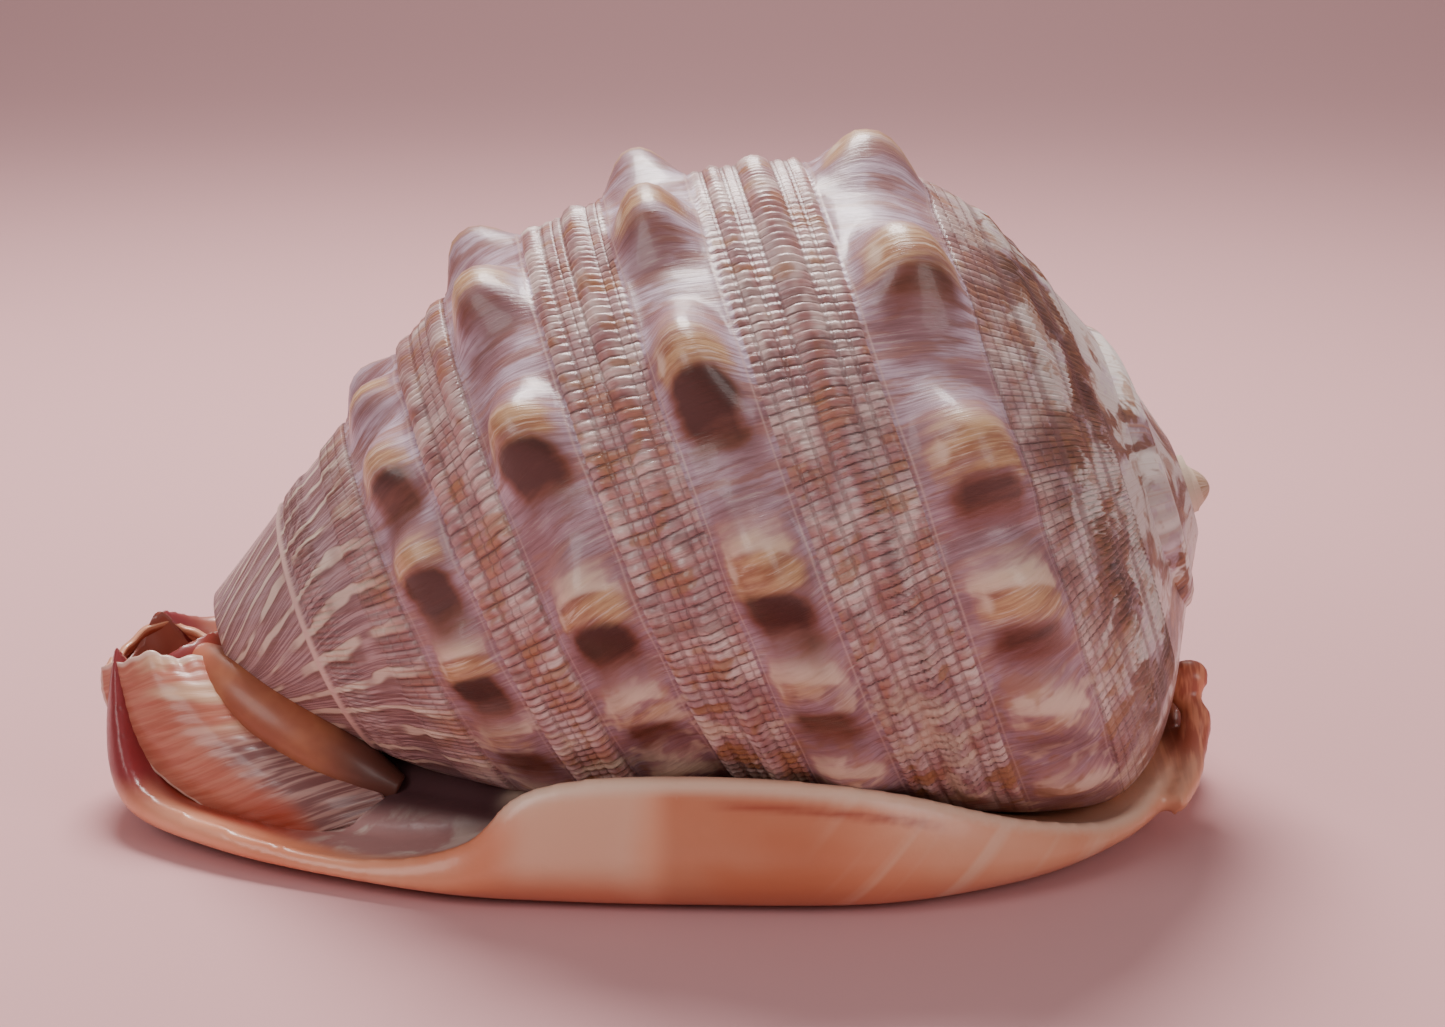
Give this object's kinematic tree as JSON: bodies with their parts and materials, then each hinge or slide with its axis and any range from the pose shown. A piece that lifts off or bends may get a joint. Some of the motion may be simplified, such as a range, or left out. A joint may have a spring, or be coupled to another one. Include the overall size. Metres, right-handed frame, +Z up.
{
  "type": "helmet shell",
  "caption": "Heavy oval sea shell with spiral rows of blunt knobs over beaded cords, a wide flat saucer-like callus and a long toothed mouth, lying mouth down.",
  "frame": {"origin": "middle of the shell's box on the plane that it rests on", "axes": "+X towards the spire, along the shell's length; -Y towards the side that shows the callus, +Y towards the outer lip; +Z up, away from the mouth"},
  "size_m": [0.1558, 0.1188, 0.0944],
  "materials": {
    "shell": "natural glossy shell: mauve and cream with golden-brown knobs and a salmon callus"
  },
  "bodies": {
    "root": {"helmet_shell": "shell"}
  },
  "joints": []
}
